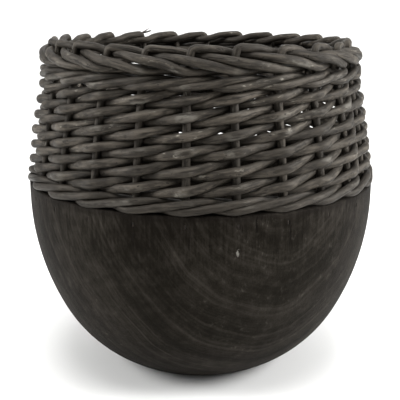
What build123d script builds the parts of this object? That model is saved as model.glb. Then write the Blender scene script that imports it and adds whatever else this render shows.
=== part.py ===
from build123d import *
import math
import os

# Fruit basket: a turned wooden bowl whose rim carries a willow-wicker wall.
# Millimetres, +Z up, origin at the centre of the bowl's flat base, front towards -Y.

# --- Turned bowl ---
base_radius = 63.0  # flat circle the basket stands on
rim_height = 152.5
rim_radius = 138.4
bowl_wall = 14.0
belly_height = 141.6  # the wall is upright above this height
upper_arc_radius = 194.3  # long arc of the outline, under the rim
lower_arc_radius = 114.7  # tighter arc of the outline, above the base
arc_join_angle = 28.4  # degrees below the horizontal at which the two arcs meet
floor_thickness = 16.0
floor_blend = 30.0  # inside corner between wall and floor
rim_edge_round = 1.5
base_edge_round = 1.0

# --- Stakes: the upright rods ---
stake_count = 24
stake_diameter = 4.6
first_stake_angle = -4.35  # degrees from the front, positive towards +X
stake_hole_diameter = 5.3
stake_hole_depth = 25.0
stake_gap_below = 0.4  # under the stake's foot in its hole
stake_ring_radius = 131.2  # stake centres at the rim
neck_ring_radius = 116.3  # stake centres under the border
lean_start_height = 154.0
lean_end_height = 242.0

ridge_height = 260.6  # centre of the bent-over stakes along the top edge
border_foot_height = 248.0  # where they dip behind the fourth stake along

# --- Woven rods ---
weaver_diameter = 5.0
weave_clearance = 0.45  # between a rod and the stake it passes
stake_pitch = 360.0 / stake_count

# --- Randing: one slanting rod started in every space ---
rand_start_height = 171.3  # centre of each rod at its first pass in front of a stake
rand_rise = 5.7  # climb from one stake to the next
rand_passes = 12  # stakes each rod passes, the first and last of them behind
rand_foot_lift = 0.2  # the butt end is raised this much to clear the wale

# --- Wales: three rods, each in front of two stakes and behind the third ---
lower_wale_height = 155.9  # centre of the lowest pass
upper_wale_height = 236.3
wale_second_pass = 6.3  # the rest are heights above the lowest pass
wale_over_top = 7.0
wale_behind = 4.1
wale_under = 0.2
wale_middle = 3.4
wale_end_gap = 0.06  # of a stake space, either side of the stake the ends hide behind

# --- Brads: slender nails with narrow heads, through the wall into the stakes ---
brad_height = 144.7
brad_shank_diameter = 1.2
brad_head = (1.1, 2.6, 1.0)  # width, height, thickness
brad_sunk = 0.3  # below the bowl's surface
brad_tip_radius = 131.5  # distance of the tip from the basket's axis
brad_clearance = 0.25

border_offset = stake_diameter + weave_clearance
bend_radius = 13.0
border_bend_radius = 9.0


def stake_ring(height):
    """Radius of the ring of stake centres at a height."""
    share = (height - lean_start_height) / (lean_end_height - lean_start_height)
    share = min(max(share, 0.0), 1.0)
    return stake_ring_radius + share * (neck_ring_radius - stake_ring_radius)


def place(stake, offset, height):
    """Point at a stake number (fractions lie between stakes), offset outwards."""
    angle = math.radians(first_stake_angle + stake * stake_pitch)
    radius = stake_ring(height) + offset
    return Vector(radius * math.sin(angle), -radius * math.cos(angle), height)


def rod(points, diameter, bend):
    """Round rod along straight runs joined by tangent arcs."""
    edges, start = [], points[0]
    for before, corner, after in zip(points, points[1:], points[2:]):
        arriving, leaving = (corner - before).normalized(), (after - corner).normalized()
        half_turn = math.radians(arriving.get_angle(leaving)) / 2
        if half_turn < 0.004:
            continue
        run = min((corner - start).length * 0.9, (after - corner).length * 0.45)
        reach = min(bend * math.tan(half_turn), run)
        radius = reach / math.tan(half_turn)
        inwards = (leaving - arriving).normalized()
        first, last = corner - arriving * reach, corner + leaving * reach
        middle = corner + inwards * (radius / math.cos(half_turn) - radius)
        edges += [Line(start, first), ThreePointArc(first, middle, last)]
        start = last
    edges.append(Line(start, points[-1]))
    path = Wire(edges)
    section = Plane(origin=path @ 0, z_dir=path % 0) * Circle(diameter / 2)
    return sweep(section, path=path)


def pass_offset(front, diameter, turn_angle, bend):
    """Corner offset that brings a bent rod just clear of the stake it passes."""
    half_turn = math.radians(turn_angle) / 2
    bulge = bend * (1 / math.cos(half_turn) - 1)
    clear = stake_diameter / 2 + diameter / 2 + weave_clearance
    return clear + bulge if front else -(clear + bulge)


def bowl_outline(inset):
    """Half outline of the bowl, moved inwards by the wall thickness for the inside."""
    angle = math.radians(arc_join_angle)
    upper_x = rim_radius - upper_arc_radius
    lower_x = upper_x + (upper_arc_radius - lower_arc_radius) * math.cos(angle)
    lower_z = belly_height - (upper_arc_radius - lower_arc_radius) * math.sin(angle)
    upper, lower = upper_arc_radius - inset, lower_arc_radius - inset
    join = (lower_x + lower * math.cos(angle), lower_z - lower * math.sin(angle))
    bottom = floor_thickness if inset else 0.0
    drop = math.asin((lower_z - bottom) / lower)
    foot = (lower_x + lower * math.cos(drop), bottom)
    between, middle = (angle + drop) / 2, angle / 2
    shoulder = (rim_radius - inset, belly_height)
    arc_upper = ThreePointArc(
        shoulder,
        (upper_x + upper * math.cos(middle), belly_height - upper * math.sin(middle)),
        join,
    )
    arc_lower = ThreePointArc(
        join,
        (lower_x + lower * math.cos(between), lower_z - lower * math.sin(between)),
        foot,
    )
    top = rim_height + (5.0 if inset else 0.0)
    edges = [
        Line((0, bottom), (0, top)),
        Line((0, top), (rim_radius - inset, top)),
        Line((rim_radius - inset, top), shoulder),
        arc_upper,
        arc_lower,
        Line(foot, (0, bottom)),
    ]
    return make_face(edges), foot


def turned(face):
    """Solid of revolution about the vertical axis from a half outline."""
    return revolve(Plane.XZ * face, axis=Axis.Z, revolution_arc=360)


def make_bowl():
    """Hollow bowl with stake holes in the rim and sunk seats for the brads."""
    outside, _ = bowl_outline(0.0)
    inside, foot = bowl_outline(bowl_wall)
    corner = inside.vertices().sort_by_distance((foot[0], foot[1], 0))[0]
    inside = fillet(corner, floor_blend)
    bowl = turned(outside) - turned(inside)
    rim_edges = bowl.edges().filter_by(GeomType.CIRCLE).group_by(Axis.Z)[-1]
    bowl = fillet(rim_edges, rim_edge_round)
    base_edges = bowl.edges().filter_by(GeomType.CIRCLE).group_by(Axis.Z)[0]
    bowl = fillet(base_edges, base_edge_round)
    holes = []
    for number in range(stake_count):
        top = place(number, 0, rim_height)
        holes.append(
            Pos(top.X, top.Y, rim_height)
            * Cylinder(stake_hole_diameter / 2, 2 * stake_hole_depth)
        )
        holes.append(brad_shape(number, brad_clearance))
    return bowl - holes


def brad_shape(number, clearance):
    """One brad lying along a radius; with clearance it is the seat cut for it."""
    width, tall, thick = brad_head
    angle = first_stake_angle + number * stake_pitch
    face_radius = rim_radius - (0.0 if clearance else brad_sunk)
    if clearance:
        face_radius += 2.0
    head_inner = rim_radius - brad_sunk - thick - clearance
    head = Box(width + 2 * clearance, face_radius - head_inner, tall + 2 * clearance)
    head = Pos(0, -(face_radius + head_inner) / 2, 0) * head
    tip = brad_tip_radius - clearance
    length = head_inner + 0.2 - tip
    shank = Cylinder(brad_shank_diameter / 2 + clearance, length, rotation=(90, 0, 0))
    shank = Pos(0, -(tip + length / 2), 0) * shank
    return Rot(0, 0, angle) * (Pos(0, 0, brad_height) * (head + shank))


def make_stake(number):
    """Stake from its rim hole up through the weave and over into the border."""
    out = border_offset
    foot = rim_height - stake_hole_depth + stake_gap_below
    upright = [(0, 0, foot), (0, 0, lean_start_height), (0, 0, lean_end_height), (0, 0, ridge_height)]
    along_ridge = [(0.5, -1.4, ridge_height - 0.2), (1, -out - 0.2, ridge_height - 4.1)]
    # Out between the next two stakes, down in front of two, in behind the fourth.
    sloping = [
        (1.5, 0, ridge_height - 5.5),
        (2, out + 1.2, ridge_height - 6.2),
        (3, out + 1.2, border_foot_height),
    ]
    tucked = [
        (3.5, 0, border_foot_height + 0.5),
        (4, -out - 0.4, border_foot_height),
        (4.35, -out - 0.3, border_foot_height - 1.0),
    ]
    points = [
        place(number + step, offset, height)
        for step, offset, height in upright + along_ridge + sloping + tucked
    ]
    stake = rod(points, stake_diameter, border_bend_radius)
    return stake - brad_shape(number, brad_clearance)


def make_weaver(number):
    """Randing rod: behind, in front, behind ... climbing steadily to the right."""
    front = pass_offset(True, weaver_diameter, 56.0, bend_radius)
    behind = pass_offset(False, weaver_diameter, 26.0, bend_radius)
    points = []
    for step in range(-1, rand_passes):
        height = rand_start_height + step * rand_rise
        if step == -1:
            height += rand_foot_lift
        points.append(place(number + step, behind if step % 2 else front, height))
    return rod(points, weaver_diameter, bend_radius)


def make_wale_rod(number, height):
    """Wale rod once round the basket; its ends meet behind its own stake."""
    front = pass_offset(True, weaver_diameter, 32.0, bend_radius)
    behind = pass_offset(False, weaver_diameter, 40.0, bend_radius)
    cycle = [
        (0.5, 0.45, wale_under),
        (1, front, 0.0),
        (1.5, front, wale_middle),
        (2, front, wale_second_pass),
        (2.5, 0.45, wale_over_top),
        (3, behind, wale_behind),
    ]
    points = [place(number + wale_end_gap, behind, height + wale_behind)]
    for turn in range(stake_count // 3):
        for step, offset, lift in cycle:
            points.append(place(number + 3 * turn + step, offset, height + lift))
    points[-1] = place(number + stake_count - wale_end_gap, behind, height + wale_behind)
    return rod(points, weaver_diameter, bend_radius)


def keep(part, name):
    part.label = name
    export_step(part, f"parts/{name}.step")


os.makedirs("parts", exist_ok=True)

keep(make_bowl(), "bowl")
keep(Compound(children=[brad_shape(n, 0.0) for n in range(stake_count)]), "brads")
for n in range(stake_count):
    keep(make_stake(n), f"stake_{n + 1:02d}")
    keep(make_weaver(n), f"weaver_{n + 1:02d}")
for n in range(3):
    keep(make_wale_rod(n, lower_wale_height), f"lower_wale_rod_{n + 1}")
    keep(make_wale_rod(n, upper_wale_height), f"upper_wale_rod_{n + 1}")
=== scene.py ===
"""Fruit basket: looks for a turned wooden bowl with a woven willow wall."""

import math

import bpy
import numpy as np
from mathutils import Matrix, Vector, noise


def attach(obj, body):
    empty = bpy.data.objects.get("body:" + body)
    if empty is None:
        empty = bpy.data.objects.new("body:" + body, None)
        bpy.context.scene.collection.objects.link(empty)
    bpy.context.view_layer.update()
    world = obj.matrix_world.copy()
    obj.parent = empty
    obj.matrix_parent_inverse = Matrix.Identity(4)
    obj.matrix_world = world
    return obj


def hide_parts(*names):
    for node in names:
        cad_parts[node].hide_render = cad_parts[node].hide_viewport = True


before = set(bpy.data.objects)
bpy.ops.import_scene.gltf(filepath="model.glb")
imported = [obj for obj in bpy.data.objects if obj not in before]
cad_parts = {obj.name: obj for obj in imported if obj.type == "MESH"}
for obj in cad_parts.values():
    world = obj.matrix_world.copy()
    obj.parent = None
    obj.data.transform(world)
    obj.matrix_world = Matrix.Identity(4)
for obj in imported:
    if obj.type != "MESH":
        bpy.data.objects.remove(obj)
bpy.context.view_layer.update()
noise.seed_set(24)  # noise_vector otherwise starts from the clock

bl_info = {
    "name": "Wicker Fruit Basket",
    "version": (1, 0, 0),
    "blender": (4, 5, 0),
    "location": "View3D > Sidebar > Basket",
    "description": "Builds the woven willow wall, the turned bowl's finish and a studio stage",
    "category": "Add Mesh",
}

ROD_SIDES = 16
ROD_STEP = 0.0016  # length of a rod's facets
ROD_SPACING = 7.0  # metres between the stretches of willow that two rods are cut from
JOINT_SPACING = 0.047  # between the swollen joints of a rod
JOINT_LENGTH = 0.0022
FRAYED_STAKE = 14  # the stake that broke as it was bent over, counted from 0

# The growth rings lie round a line, the pith, that passes in front of the bowl.
PITH_DIRECTION = Vector((0.206, -0.474, -0.856)).normalized()
PITH_POINT = Vector((0.0917, -0.2109, 0.260))
CHIP_PLACE = (0.0253, -0.1345, 0.126)  # where the stain has come off the bowl
CHIP_SQUASH = 0.6  # the chip is taller than it is wide

# Each area light: its name, place, aim, size and power.
LIGHTS = (
    ("light_left", (-1.3, -0.2, 0.8), (0, 0, 0.13), 0.7, 21.5),
    ("light_right", (1.3, -0.2, 0.75), (0, 0, 0.13), 0.7, 33.0),
    ("light_top", (0.0, -0.35, 1.7), (0, 0, 0.13), 0.9, 26.0),
    ("light_backdrop", (0.0, 1.6, 2.6), (0.0, 2.8, 1.4), 2.0, 60.0),
)
WORLD_STRENGTH = 0.32
CAMERA_PLACE = (0.0, -0.650, 0.294)
CAMERA_AIM = (0, 0, 0.1286)
CAMERA_LENS = 72.3
CAMERA_SHIFT = -0.0015
FLOOR_SIZE = 6.0
BACKDROP_HEIGHT = 3.0
BACKDROP_SWEEP = 1.4  # radius of the curve from floor to backdrop


# --- Shader maths -----------------------------------------------------------


class Socket:
    """A node's output that can be used in Python expressions."""

    def __init__(self, tree, link):
        self.tree, self.link = tree, link

    def _maths(self, operation, *values):
        return self.tree.node("ShaderNodeMath", {"operation": operation}, dict(enumerate(values)))

    def __add__(self, other):
        return self._maths("ADD", self, other)

    def __sub__(self, other):
        return self._maths("SUBTRACT", self, other)

    def __rsub__(self, other):
        return self._maths("SUBTRACT", other, self)

    def __mul__(self, other):
        return self._maths("MULTIPLY", self, other)

    def __truediv__(self, other):
        return self._maths("DIVIDE", self, other)

    def __rtruediv__(self, other):
        return self._maths("DIVIDE", other, self)

    __radd__, __rmul__ = __add__, __mul__

    def floor(self):
        return self._maths("FLOOR", self)

    def absolute(self):
        return self._maths("ABSOLUTE", self)

    def root(self):
        return self._maths("SQRT", self)

    def least(self, other):
        return self._maths("MINIMUM", self, other)

    def ramp(self, low, high, bottom=0.0, top=1.0):
        """Smooth step from bottom to top as the value goes from low to high."""
        return self.tree.node(
            "ShaderNodeMapRange",
            {"interpolation_type": "SMOOTHSTEP"},
            {"Value": self, "From Min": low, "From Max": high, "To Min": bottom, "To Max": top},
        )


class Finish:
    """A material's node tree, with one method that adds any node."""

    def __init__(self, name):
        self.material = bpy.data.materials.new(name)
        self.material.use_nodes = True
        self.nodes = self.material.node_tree.nodes
        self.links = self.material.node_tree.links
        self.shader = self.nodes["Principled BSDF"]

    def node(self, kind, settings=None, inputs=None, output=0):
        made = self.nodes.new(kind)
        for name, value in (settings or {}).items():
            setattr(made, name, value)
        for name, value in (inputs or {}).items():
            self.feed(made.inputs[name], value)
        return Socket(self, made.outputs[output])

    def feed(self, socket, value):
        if isinstance(value, Socket):
            self.links.new(value.link, socket)
        elif isinstance(value, tuple) and len(value) == 3 and socket.type == "RGBA":
            socket.default_value = (*value, 1.0)
        else:
            socket.default_value = value

    def split(self, vector):
        parts = self.node("ShaderNodeSeparateXYZ", {}, {"Vector": vector}).link.node
        return [Socket(self, parts.outputs[axis]) for axis in "XYZ"]

    def join(self, x, y, z):
        return self.node("ShaderNodeCombineXYZ", {}, {"X": x, "Y": y, "Z": z})

    def scaled(self, vector, by):
        settings = {"operation": "MULTIPLY"}
        return self.node("ShaderNodeVectorMath", settings, {0: vector, 1: by})

    def noise(self, vector, scale, detail=3.0, roughness=0.55):
        """Noise at a vector; the scale is one number or one for each axis."""
        if isinstance(scale, tuple):
            vector, scale = self.scaled(vector, scale), 1.0
        values = {"Vector": vector, "Scale": scale, "Detail": detail, "Roughness": roughness}
        return self.node("ShaderNodeTexNoise", {}, values)

    def mix(self, share, first, second, blend="MIX"):
        """Mixes two colours; 6, 7 and 2 are the node's colour sockets."""
        settings = {"data_type": "RGBA", "blend_type": blend}
        return self.node("ShaderNodeMix", settings, {0: share, 6: first, 7: second}, output=2)

    def bump(self, relief, distance, strength):
        values = {"Height": relief, "Distance": distance, "Strength": strength}
        return self.node("ShaderNodeBump", {}, values)

    def finish(self, **inputs):
        for name, value in inputs.items():
            self.feed(self.shader.inputs[name.replace("_", " ")], value)
        return self.material


# --- Sizes and colours ------------------------------------------------------


def length(name, description, default):
    return bpy.props.FloatProperty(
        name=name, description=description, default=default, unit="LENGTH", subtype="DISTANCE"
    )


def colour(name, description, default):
    return bpy.props.FloatVectorProperty(
        name=name, description=description, default=default, subtype="COLOR", min=0, max=1
    )


class BasketSizes(bpy.types.PropertyGroup):
    """Sizes of the woven wall."""

    stakes: bpy.props.IntProperty(
        name="Stakes", description="Upright rods round the rim", default=24
    )
    first_angle: bpy.props.FloatProperty(
        name="First stake",
        description="Angle of the first stake from the front",
        default=math.radians(-4.35),
        subtype="ANGLE",
        unit="ROTATION",
    )
    rim_ring: length("Rim ring", "Radius of the ring of stakes at the rim", 0.1317)
    neck_ring: length("Neck ring", "Radius of the ring of stakes under the border", 0.1168)
    belly: length("Belly", "Bulge of the woven wall half way up", 0.0014)
    lean_start: length("Lean start", "Height where the stakes start to lean in", 0.154)
    lean_end: length("Lean end", "Height where they stand upright again", 0.242)
    stake_width: length("Stake", "Thickness of a stake", 0.0056)
    weaver_width: length("Weaver", "Thickness of a slanting rod, radially", 0.0056)
    wale_width: length("Wale rod", "Thickness of a wale rod", 0.0055)
    rand_start: length("Randing start", "Height of the lowest pass in front", 0.1688)
    rand_rise: length("Randing rise", "Climb of a slanting rod per stake", 0.00588)
    lower_wale: length("Lower wale", "Height of the wale's lowest pass", 0.1548)
    upper_wale: length("Upper wale", "Height of the wale's lowest pass", 0.2355)
    ridge: length("Ridge", "Height of the rods along the top edge", 0.2602)
    border_foot: length("Border foot", "Height where the border rods tuck in", 0.2464)


class BasketColours(bpy.types.PropertyGroup):
    """Colours of the basket and of the studio."""

    bark: colour("Bark", "Weathered willow bark", (0.063, 0.054, 0.043))
    # The dark colour below is the real stain of the bark, and also painted shade in the recesses
    # and between stacked rods.
    bark_stain_and_shade: colour("Bark, dark", "Stained parts of the bark", (0.011, 0.0089, 0.0066))
    bark_worn: colour("Bark, worn", "Scuffed pale spots", (0.30, 0.28, 0.24))
    # The rubbed colour below is partly real wear on proud crests and partly a painted highlight.
    bark_rubbed_and_highlight: colour("Bark, rubbed", "Crests that stand proud", (0.17, 0.16, 0.14))
    pit: colour("Pits", "Pits and cracks in the bark", (0.004, 0.0032, 0.0024))
    cut_end: colour("Cut end", "Trimmed end of a rod", (0.24, 0.21, 0.17))
    bowl: colour("Bowl", "Dark stained wood", (0.0035, 0.0028, 0.0020))
    bowl_line: colour("Bowl grain", "Lighter lines of the grain", (0.040, 0.0350, 0.0290))
    bowl_worn: colour("Bowl, worn", "Scuffed spots", (0.085, 0.078, 0.065))
    # The colour below is used for the real splits and for a painted shadow under the wale.
    bowl_split_and_shadow: colour("Bowl grime", "Splits and dirt under the wale", (0.002, 0.0016, 0.0012))
    chip: colour("Chip", "Bare wood where the stain is chipped", (0.20, 0.19, 0.17))
    steel: colour("Brads", "Blackened steel", (0.015, 0.014, 0.013))
    rust: colour("Rust", "Specks of rust on the brads", (0.05, 0.035, 0.025))
    floor: colour("Floor", "Pale studio floor", (0.82, 0.82, 0.81))


# --- Rods -------------------------------------------------------------------


def ring_radius(height):
    """Radius of the ring of stakes at a height."""
    sizes = bpy.context.scene.basket_sizes
    share = (height - sizes.lean_start) / (sizes.lean_end - sizes.lean_start)
    share = min(max(share, 0.0), 1.0)
    belly = sizes.belly * math.sin(math.pi * share)
    return sizes.rim_ring + share * (sizes.neck_ring - sizes.rim_ring) + belly


def place(stake, offset, height):
    """Point beside a stake number; fractions lie between two stakes."""
    sizes = bpy.context.scene.basket_sizes
    angle = sizes.first_angle + stake * 2 * math.pi / sizes.stakes
    radius = ring_radius(height) + offset
    return Vector((radius * math.sin(angle), -radius * math.cos(angle), height))


def smooth_path(knots):
    """Points and thicknesses a short step apart on a smooth line through the knots.

    A knot is (stake number, offset outwards, height, thickness factor).
    """
    knots = np.array(knots, float)
    before = np.vstack([2 * knots[0] - knots[1], knots[:-1]])
    after = np.vstack([knots[1:], 2 * knots[-1] - knots[-2]])
    slopes = (after - before) / 2
    line = []
    for here in range(len(knots) - 1):
        a, b, da, db = knots[here], knots[here + 1], slopes[here], slopes[here + 1]
        gap = (place(*b[:3]) - place(*a[:3])).length
        count = max(2, int(round(gap / ROD_STEP)))
        for step in range(count + (here == len(knots) - 2)):
            t = step / count
            line.append(
                a * (2 * t**3 - 3 * t**2 + 1)
                + da * (t**3 - 2 * t**2 + t)
                + b * (3 * t**2 - 2 * t**3)
                + db * (t**3 - t**2)
            )
    return line


def wander(seed, along, size):
    """Slow sideways drift of a natural rod at a distance along it."""
    spot = Vector((along * 28.0, seed * 7.13, 3.7))
    return noise.noise_vector(spot) * size


def lay_rod(name, knots, width, seed, tall=1.0, taper=0.06, sway=0.0005):
    """A willow rod: an oval section carried along a smooth line, with swollen joints.

    The section is tall times as high as it is wide, and the rod gets thinner by taper.
    """
    bpy.ops.object.select_all(action="DESELECT")
    bpy.ops.curve.primitive_bezier_circle_add(radius=width / 2)
    section = bpy.context.object
    section.scale = (1.0, tall, 1.0)
    bpy.ops.object.transform_apply(location=True, rotation=True, scale=True)
    section.data.resolution_u = ROD_SIDES // 4

    line = smooth_path(knots)
    points = [place(*spot[:3]) for spot in line]
    runs = [0.0]
    for a, b in zip(points, points[1:]):
        runs.append(runs[-1] + (b - a).length)
    random = np.random.default_rng(seed)
    joints = np.arange(random.uniform(0.01, 0.04), runs[-1], JOINT_SPACING)
    joints += random.uniform(-0.012, 0.012, len(joints))

    bpy.ops.object.select_all(action="DESELECT")
    bpy.ops.curve.primitive_nurbs_path_add()
    rod = bpy.context.object
    rod.name = rod.data.name = name
    rod.data.splines.clear()
    spline = rod.data.splines.new("POLY")
    spline.points.add(len(points) - 1)
    for knot, spot, point, along in zip(spline.points, line, points, runs):
        swell = sum(math.exp(-(((along - j) / JOINT_LENGTH) ** 2)) for j in joints)
        lump = noise.noise(Vector((along * 55.0, seed * 3.3, 0.5))) * 0.05
        shift = wander(seed, along, sway)
        knot.co = (*(point + shift), 1.0)
        share = along / runs[-1]
        knot.radius = spot[3] * (1 + taper * (0.5 - share) * 2 + 0.07 * swell + lump)
    rod.data.dimensions = "3D"
    rod.data.twist_mode = "Z_UP"
    rod.data.bevel_mode = "OBJECT"
    rod.data.bevel_object = section
    rod.data.use_fill_caps = True
    bpy.ops.object.convert(target="MESH")
    rod = bpy.context.object
    bpy.data.objects.remove(section)
    mark_bark(rod, runs, [spot[1] for spot in line], width, seed)
    return rod


def mark_bark(rod, runs, outs, width, seed):
    """Stores each vertex's place on the straight rod and how far it stands proud."""
    mesh = rod.data
    turns = np.arange(ROD_SIDES) * 2 * math.pi / ROD_SIDES
    # The mesh starts with the rings of the two end caps.
    rings = np.array([runs[-1], runs[0], *runs])
    where = np.zeros((len(rings), ROD_SIDES, 3))
    where[:, :, 0] = rings[:, None] + seed * ROD_SPACING
    where[:, :, 1] = width / 2 * np.cos(turns)
    where[:, :, 2] = width / 2 * np.sin(turns)
    straight = mesh.attributes.new("straight", "FLOAT_VECTOR", "POINT")
    straight.data.foreach_set("vector", where.reshape(-1).astype(np.float32))
    proud = np.array([outs[-1], outs[0], *outs]) / max(0.001, max(outs))
    crest_rub_and_highlight = mesh.attributes.new("proud", "FLOAT", "POINT")
    crest_rub_and_highlight.data.foreach_set("value", np.repeat(proud, ROD_SIDES).astype(np.float32))
    mesh.materials.append(bpy.data.materials["willow_bark"])
    mesh.materials.append(bpy.data.materials["willow_cut_end"])
    for face in mesh.polygons:
        if all(vertex < 2 * ROD_SIDES for vertex in face.vertices):
            face.material_index = 1
    bpy.ops.object.mode_set(mode="EDIT")
    bpy.ops.mesh.select_all(action="SELECT")
    bpy.ops.mesh.remove_doubles(threshold=0.00001)
    bpy.ops.mesh.normals_make_consistent(inside=False)
    bpy.ops.object.mode_set(mode="OBJECT")
    bpy.ops.object.shade_smooth_by_angle(angle=math.radians(50))


def fray(rod, number, top):
    """Splinters of bark where a stake broke as it was bent over."""
    sizes = bpy.context.scene.basket_sizes
    splinters = []
    # Each splinter: offset outwards, rise above the rod, reach along it in stakes.
    shapes = (
        (0.0003, 0.0052, 0.26),
        (-0.0030, 0.0040, 0.32),
        (0.0026, 0.0034, 0.22),
        (-0.001, 0.0030, 0.36),
    )
    for order, (out, rise, reach) in enumerate(shapes):
        knots = [
            (number + 0.16, out * 0.3, top + 0.0008, 0.24),
            (number + 0.08 - reach / 3, out * 0.8, top + rise * 0.62, 0.17),
            (number + 0.08 - reach * 0.7, out * 1.3, top + rise, 0.07),
        ]
        name = f"splinter_{order}"
        splinters.append(
            lay_rod(name, knots, sizes.stake_width, 700 + order, taper=0.0, sway=0.0)
        )
    bpy.ops.object.select_all(action="DESELECT")
    for piece in (*splinters, rod):
        piece.select_set(True)
    bpy.context.view_layer.objects.active = rod
    bpy.ops.object.join()


def stand_for(piece, node):
    """Puts a finished piece in the place of a CAD node."""
    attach(piece, "root")
    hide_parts(node)


# --- Finishes ---------------------------------------------------------------


def willow_finish():
    """Weathered bark that follows each rod: fibres, blotches, scuffs and pits, with crests partly
    rubbed and partly painted highlight, painted shade in the recesses and between stacked rods,
    and darker towards the bottom of the wall.
    """
    colours = bpy.context.scene.basket_colours
    made = Finish("willow_bark")
    straight = made.node("ShaderNodeAttribute", {"attribute_name": "straight"}, output=1)
    along = made.split(straight)[0]
    rod_number = (along / ROD_SPACING + 0.01).floor()
    luck = made.node("ShaderNodeTexWhiteNoise", {"noise_dimensions": "1D"}, {"W": rod_number})
    fibres = made.noise(straight, (60.0, 1500.0, 1500.0), 4.0, 0.65)
    blotches = made.noise(straight, (80.0, 330.0, 330.0), 5.0, 0.65)
    bands = made.noise(straight, (22.0, 90.0, 90.0), 2.0)
    scuffs = made.noise(straight, (150.0, 420.0, 420.0), 3.0, 0.62)
    grooves = made.noise(straight, (55.0, 700.0, 700.0), 3.0, 0.6)
    tone = 0.56 + luck * 0.56 + (fibres - 0.5) * 0.9 + (bands - 0.5) * 0.7
    tone = tone + (grooves - 0.5) * 1.3
    shade = made.mix(blotches.ramp(0.36, 0.62), tuple(colours.bark_stain_and_shade), tuple(colours.bark))
    grey = made.join(tone, tone, tone)
    base = made.mix(1.0, shade, grey, "MULTIPLY")
    worn = scuffs.ramp(0.58, 0.74) * bands.ramp(0.48, 0.62)
    base = made.mix(worn * 0.75, base, tuple(colours.bark_worn))
    proud = made.node("ShaderNodeAttribute", {"attribute_name": "proud"}, output=2)
    # Pale crests where the rod stands proud: partly real rubbing, partly a painted highlight.
    rubbed_and_highlit = made.noise(straight, (52.0, 150.0, 150.0), 4.0, 0.6)
    crest_rub_and_highlight = proud.ramp(0.55, 0.95) * rubbed_and_highlit.ramp(0.54, 0.66) * bands.ramp(0.40, 0.55)
    base = made.mix(crest_rub_and_highlight * 0.5, base, tuple(colours.bark_rubbed_and_highlight))
    # Painted shade: the bark darkens where the rod lies back, in the recesses between the stakes.
    recess_painted_shade = (proud + (blotches - 0.5) * 0.8).ramp(0.15, -0.60)
    base = made.mix(recess_painted_shade * 0.6, base, tuple(colours.bark_stain_and_shade))
    height = made.split(made.node("ShaderNodeTexCoord", output=3))[2]
    # Painted shade between stacked rods: faces that point up or down darken, less so along the
    # top edge.
    facing_up = made.split(made.node("ShaderNodeNewGeometry", output=1))[2]
    gap_painted_shade = (facing_up.absolute() + (blotches - 0.5) * 0.5).ramp(0.40, 1.0)
    gap_painted_shade = gap_painted_shade * height.ramp(0.253, 0.259, 0.68, 0.3)
    base = made.mix(gap_painted_shade, base, tuple(colours.bark_stain_and_shade))
    # Darker towards the bottom, on the wale that sits on the rim.
    darker_near_rim = height.ramp(0.155, 0.170, 0.62, 0.0)
    base = made.mix(darker_near_rim, base, tuple(colours.bark_stain_and_shade))
    specks = made.noise(straight, (300.0, 520.0, 520.0), 2.0)
    cracks = made.noise(straight, (45.0, 800.0, 800.0), 2.0)
    pits = (specks.ramp(0.64, 0.70) + cracks.ramp(0.61, 0.67)).least(1.0)
    base = made.mix(pits * 0.8, base, tuple(colours.pit))
    relief = fibres * 0.35 + grooves * 0.5 + blotches * 0.6 + scuffs * 0.3 - pits * 0.5
    return made.finish(
        Base_Color=base,
        Roughness=0.44 + fibres * 0.26,
        Specular_IOR_Level=0.26,
        Specular_Tint=(1.0, 0.92, 0.82, 1.0),
        Normal=made.bump(relief, 0.0009, 0.75),
    )


def cut_end_finish():
    """Pale, grubby end grain of a trimmed rod."""
    colours = bpy.context.scene.basket_colours
    made = Finish("willow_cut_end")
    here = made.node("ShaderNodeTexCoord", output=3)
    grain = made.noise(here, 900.0, 3.0)
    base = made.mix(grain.ramp(0.35, 0.7), tuple(colours.bark_stain_and_shade), tuple(colours.cut_end))
    return made.finish(Base_Color=base, Roughness=0.85, Normal=made.bump(grain, 0.0004, 0.6))


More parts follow.
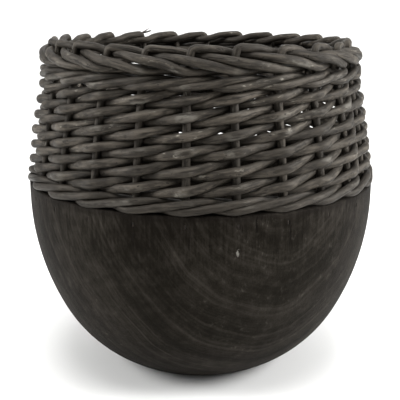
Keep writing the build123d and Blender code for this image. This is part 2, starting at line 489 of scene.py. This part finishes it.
def bowl_finish():
    """Dark stained wood with growth rings, scuffs, fine splits and one chip, and a painted shadow
    under the wale.
    """
    colours = bpy.context.scene.basket_colours
    made = Finish("turned_wood")
    here = made.node("ShaderNodeTexCoord", output=3)
    turn = PITH_DIRECTION.rotation_difference(Vector((0, 0, -1)))
    shift = -(turn @ PITH_POINT)
    log = made.node(
        "ShaderNodeMapping",
        {"vector_type": "POINT"},
        {"Vector": here, "Rotation": turn.to_euler(), "Location": shift},
    )
    across, deep, lengthways = made.split(log)
    drift = made.noise(log, (9.0, 9.0, 4.0), 3.0)
    knotty = made.noise(log, (30.0, 30.0, 9.0), 3.0)
    ring = (across * across + deep * deep).root()
    ring = ring + (drift - 0.5) * 0.022 + (knotty - 0.5) * 0.005
    years = made.noise(made.join(ring * 85.0, lengthways * 1.5, 0.0), 1.0, 2.0, 0.5)
    lines = made.noise(made.join(ring * 330.0, lengthways * 6.0, 3.0), 1.0, 3.0, 0.65)
    streaks = made.noise(log, (480.0, 480.0, 30.0), 4.0, 0.65)
    fibres = made.noise(log, (1500.0, 1500.0, 90.0), 3.0, 0.6)
    drips = made.noise(here, (430.0, 430.0, 26.0), 4.0, 0.65)
    splits = made.noise(here, (190.0, 190.0, 24.0), 3.0, 0.6)
    clouds = made.noise(here, 15.0, 6.0, 0.68)
    mottle = made.noise(here, 120.0, 4.0, 0.65)
    patches = made.noise(here, 9.0, 2.0)
    up = made.split(here)[2]
    near_rim = up.ramp(0.085, 0.150)
    share = (
        0.20
        + (lines - 0.5) * 1.15 * years.ramp(0.38, 0.62, 0.35, 1.0)
        + (years - 0.5) * 0.8
        + (streaks - 0.5) * 0.35
        + (drips - 0.5) * near_rim * 1.1
        + lines.ramp(0.56, 0.68) * 0.11
        + (clouds - 0.5) * 1.0
        + (mottle - 0.5) * 0.5
        + (fibres - 0.5) * 0.4
    )
    base = made.mix(share.ramp(-0.15, 1.15), tuple(colours.bowl), tuple(colours.bowl_line))
    worn = streaks.ramp(0.54, 0.72) * mottle.ramp(0.47, 0.66) * patches.ramp(0.46, 0.62)
    base = made.mix(worn * 0.4, base, tuple(colours.bowl_worn))
    chip = made.node(
        "ShaderNodeVectorMath",
        {"operation": "DISTANCE"},
        {
            0: made.scaled(here, (1.0, 1.0, CHIP_SQUASH)),
            1: (*CHIP_PLACE[:2], CHIP_PLACE[2] * CHIP_SQUASH),
        },
        output=1,
    )
    ragged = made.noise(here, 500.0, 3.0)
    bare = (chip + (ragged - 0.5) * 0.009).ramp(0.0014, 0.0006)
    base = made.mix(bare * 0.8, base, tuple(colours.chip))
    dark = tuple(colours.bowl_split_and_shadow)
    split = splits.ramp(0.655, 0.685) * up.ramp(0.120, 0.138)
    base = made.mix(split * 0.9, base, dark)
    # Painted shadow: a dark band round the top of the bowl, under the wale.
    darker_near_rim = (up + (drips - 0.5) * 0.006).ramp(0.1465, 0.1500)
    base = made.mix(darker_near_rim * 0.4, base, dark)
    relief = lines * 0.25 + fibres * 0.4 + streaks * 0.35 - bare - split
    return made.finish(
        Base_Color=base,
        Roughness=0.60 + fibres * 0.2,
        Specular_IOR_Level=0.06,
        Specular_Tint=(1.0, 0.86, 0.72, 1.0),
        Normal=made.bump(relief, 0.0009, 0.6),
    )


def steel_finish():
    """Blackened steel with specks of rust."""
    colours = bpy.context.scene.basket_colours
    made = Finish("blackened_steel")
    here = made.node("ShaderNodeTexCoord", output=3)
    specks = made.noise(here, 1800.0, 3.0)
    base = made.mix(specks.ramp(0.4, 0.7), tuple(colours.steel), tuple(colours.rust))
    return made.finish(Base_Color=base, Metallic=0.8, Roughness=0.45 + specks * 0.3)


# --- Operators --------------------------------------------------------------


def give_finish(node, finish):
    """Replaces the materials of a CAD node whose shape is kept."""
    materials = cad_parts[node].data.materials
    materials.clear()
    materials.append(bpy.data.materials[finish])


def point_at(thing, target):
    """Turns a light or a camera towards a point."""
    aim = Vector(target) - thing.location
    thing.rotation_euler = aim.to_track_quat("-Z", "Y").to_euler()


class BASKET_OT_finishes(bpy.types.Operator):
    """Make the willow, wood and steel finishes"""

    bl_idname = "basket.finishes"
    bl_label = "Finishes"

    def execute(self, context):
        for make in (willow_finish, cut_end_finish, bowl_finish, steel_finish):
            make()
        return {"FINISHED"}


class BASKET_OT_bowl(bpy.types.Operator):
    """Give the turned bowl its stained wood"""

    bl_idname = "basket.bowl"
    bl_label = "Bowl"

    def execute(self, context):
        give_finish("bowl", "turned_wood")
        return {"FINISHED"}


class BASKET_OT_brads(bpy.types.Operator):
    """Give the brads their blackened steel"""

    bl_idname = "basket.brads"
    bl_label = "Brads"

    def execute(self, context):
        give_finish("brads", "blackened_steel")
        return {"FINISHED"}


class BASKET_OT_stakes(bpy.types.Operator):
    """Raise the stakes and bend them over into the border"""

    bl_idname = "basket.stakes"
    bl_label = "Stakes and border"

    def execute(self, context):
        sizes = context.scene.basket_sizes
        out = sizes.stake_width * 0.96
        ridge, foot = sizes.ridge, sizes.border_foot
        for number in range(sizes.stakes):
            random = np.random.default_rng(500 + number)
            jog = random.uniform(-1, 1, 8)
            # Each knot: stakes further on, offset outwards, height, thickness factor.
            upright = [(0, 0, 0.130, 1.0), (0, 0, 0.150, 1.0)]
            upright += [(0, 0, millimetres / 1000, 1.0) for millimetres in range(165, 240, 12)]
            swell = 0.0009 * math.sin(number * math.pi / 12 + 2.4) + 0.0006 * jog[0]
            top = ridge - 0.0006 + swell
            low = top - 0.0044
            lean = 0.09 + 0.05 * jog[6]
            knots = upright + [
                (lean * 0.6, 0.0, top - 0.0110, 0.96),
                (lean, 0.0, top - 0.0046, 0.96),
                (lean + 0.03, -0.0002, top - 0.0016, 0.99),
                (lean + 0.10, -0.0005, top, 1.01),
                (0.42, -0.0015, top - 0.0003, 1.03),
                (0.70, -0.0032, top - 0.0012, 1.04),
                (1.0, -out + 0.0004, top - 0.0037 + 0.0004 * jog[1], 1.04),
                (1.3, -0.0026, low - 0.0004, 1.03),
                (1.6, 0.0016, low - 0.0010, 1.04),
                (2.0, out + 0.0006, low - 0.0028 + 0.0005 * jog[2], 1.14),
                (2.5, out + 0.0015, low - 0.0056 + 0.0004 * jog[5], 1.17),
                (3.0, out + 0.0006, foot + 0.0005 * jog[3], 1.08),
                (3.5, 0.0003, foot - 0.0006, 0.98),
                (4.0, -out, foot - 0.0008, 0.92),
                (4.25 + 0.15 * jog[4], -out - 0.0006, foot - 0.0016, 0.88),
            ]
            name = f"stake_{number + 1:02d}"
            knots = [(number + step, *rest) for step, *rest in knots]
            rod = lay_rod(
                f"willow_{name}", knots, sizes.stake_width, 100 + number, taper=0.05, sway=0.00025
            )
            if number == FRAYED_STAKE:
                fray(rod, number, top)
            stand_for(rod, name)
        return {"FINISHED"}


class BASKET_OT_weavers(bpy.types.Operator):
    """Weave the slanting rods of the wall"""

    bl_idname = "basket.weavers"
    bl_label = "Randing"

    def execute(self, context):
        sizes = context.scene.basket_sizes
        middle = 0.0007  # the rods lie this much outside the ring of stakes on average
        pressed = 0.0013  # rods are squeezed against the stakes they pass
        swing = sizes.stake_width / 2 + sizes.weaver_width / 2 - pressed
        for number in range(sizes.stakes):
            random = np.random.default_rng(900 + number)
            jog = random.uniform(-1, 1, 30)
            knots = []
            for step in range(-1, 12):
                front = step % 2 == 0
                side = 1 if front else -1
                low = max(0.0, 1 - step / 5)
                height = sizes.rand_start + step * sizes.rand_rise + 0.0004 * step * low
                height += 0.0006 * jog[step + 1]
                # A rod swells in front of a stake and is pinched behind one.
                full = (1.06 + 0.05 * jog[step + 14]) if front else 0.85
                side_full = 0.95 if front else 0.89
                passing = ((-0.3, 0.4, side_full), (0, 1, full), (0.3, 0.4, side_full))
                for shift, share, thick in passing:
                    spot = (number + step + shift, middle + side * swing * share)
                    knots.append((*spot, height + shift * sizes.rand_rise, thick))
            knots = knots[1:-1]
            name = f"weaver_{number + 1:02d}"
            width = sizes.weaver_width * (1 + 0.03 * jog[29])
            rod = lay_rod(f"willow_{name}", knots, width, 200 + number, tall=1.19)
            stand_for(rod, name)
        return {"FINISHED"}


class BASKET_OT_wales(bpy.types.Operator):
    """Twist the three rods of each wale round the stakes"""

    bl_idname = "basket.wales"
    bl_label = "Wales"

    def execute(self, context):
        sizes = context.scene.basket_sizes
        out = sizes.stake_width / 2 + sizes.wale_width / 2 - 0.0002
        wales = (
            (sizes.lower_wale, 0.0055, -0.0003, 0.98, "lower", 300),
            (sizes.upper_wale, 0.0048, 0.0003, 0.96, "upper", 400),
        )
        for base, rise, proud, tall, label, seed in wales:
            for number in range(3):
                random = np.random.default_rng(seed + number)
                behind = (-out, base + 0.56 * rise, 0.95)
                knots = [(number + 0.07, *behind)]
                for turn in range(sizes.stakes // 3):
                    jog = random.uniform(-1, 1, 6) * 0.0004
                    at = number + 3 * turn
                    knots += [
                        (at + 0.5, 0.0004, base + 0.11 * rise, 0.96),
                        (at + 0.93, out + proud, base - 0.0002 + jog[0], 1.03),
                        (at + 1.5, out + proud, base + 0.47 * rise + jog[1], 1.06),
                        (at + 2.05, out + proud, base + rise + jog[2], 1.03),
                        (at + 2.5, 0.0004, base + 1.07 * rise, 0.96),
                        (at + 3.0, *behind),
                    ]
                knots[-1] = (number + sizes.stakes - 0.07, *behind)
                name = f"{label}_wale_rod_{number + 1}"
                rod = lay_rod(
                    f"willow_{name}", knots, sizes.wale_width, seed + number, tall=tall, taper=0.0
                )
                stand_for(rod, name)
        return {"FINISHED"}


class BASKET_OT_stage(bpy.types.Operator):
    """Lay the pale floor, hang the soft lights and set the camera"""

    bl_idname = "basket.stage"
    bl_label = "Stage"

    def execute(self, context):
        scene = context.scene
        colours = scene.basket_colours
        bpy.ops.object.select_all(action="DESELECT")
        bpy.ops.mesh.primitive_plane_add(size=FLOOR_SIZE, location=(0, 0, 0))
        floor = context.object
        floor.name = floor.data.name = "floor"
        bpy.ops.object.mode_set(mode="EDIT")
        bpy.ops.mesh.select_all(action="DESELECT")
        bpy.ops.mesh.select_mode(type="EDGE")
        bpy.ops.object.mode_set(mode="OBJECT")
        for edge in floor.data.edges:
            edge.select = all(floor.data.vertices[v].co.y > 0 for v in edge.vertices)
        bpy.ops.object.mode_set(mode="EDIT")
        lift = {"value": (0, 0, BACKDROP_HEIGHT)}
        bpy.ops.mesh.extrude_region_move(TRANSFORM_OT_translate=lift)
        bpy.ops.object.mode_set(mode="OBJECT")
        sweep = floor.modifiers.new("sweep", "BEVEL")
        sweep.width, sweep.segments, sweep.limit_method = BACKDROP_SWEEP, 12, "ANGLE"
        bpy.ops.object.modifier_apply(modifier="sweep")
        bpy.ops.object.shade_smooth()
        made = Finish("pale_floor")
        floor.data.materials.append(made.finish(Base_Color=tuple(colours.floor), Roughness=0.9))
        world = bpy.data.worlds.new("studio")
        scene.world = world
        world.use_nodes = True
        background = world.node_tree.nodes["Background"]
        background.inputs["Color"].default_value = (1, 1, 1, 1)
        background.inputs["Strength"].default_value = WORLD_STRENGTH
        for name, spot, target, size, power in LIGHTS:
            bpy.ops.object.light_add(type="AREA", location=spot)
            light = context.object
            light.name = light.data.name = name
            light.data.size, light.data.energy = size, power
            point_at(light, target)
        bpy.ops.object.camera_add(location=CAMERA_PLACE)
        camera = context.object
        camera.data.lens, camera.data.sensor_width = CAMERA_LENS, 36.0
        camera.data.shift_x = CAMERA_SHIFT
        point_at(camera, CAMERA_AIM)
        scene.camera = camera
        scene.view_settings.view_transform = "Standard"
        return {"FINISHED"}


class BASKET_PT_panel(bpy.types.Panel):
    """The basket's pieces, sizes and colours"""

    bl_idname = "BASKET_PT_panel"
    bl_label = "Fruit basket"
    bl_space_type = "VIEW_3D"
    bl_region_type = "UI"
    bl_category = "Basket"

    def draw(self, context):
        for group in (context.scene.basket_sizes, context.scene.basket_colours):
            box = self.layout.box()
            for name in group.__annotations__:
                box.prop(group, name)
        for operator in OPERATORS:
            self.layout.operator(operator.bl_idname)


OPERATORS = (
    BASKET_OT_finishes,
    BASKET_OT_bowl,
    BASKET_OT_brads,
    BASKET_OT_stakes,
    BASKET_OT_weavers,
    BASKET_OT_wales,
    BASKET_OT_stage,
)
CLASSES = (BasketSizes, BasketColours, *OPERATORS, BASKET_PT_panel)


def register():
    for each in CLASSES:
        bpy.utils.register_class(each)
    bpy.types.Scene.basket_sizes = bpy.props.PointerProperty(type=BasketSizes)
    bpy.types.Scene.basket_colours = bpy.props.PointerProperty(type=BasketColours)


def unregister():
    del bpy.types.Scene.basket_colours
    del bpy.types.Scene.basket_sizes
    for each in reversed(CLASSES):
        bpy.utils.unregister_class(each)


def main():
    register()
    bpy.ops.basket.finishes()
    bpy.ops.basket.bowl()
    bpy.ops.basket.brads()
    bpy.ops.basket.stakes()
    bpy.ops.basket.weavers()
    bpy.ops.basket.wales()
    bpy.ops.basket.stage()


if __name__ == "__main__":
    main()
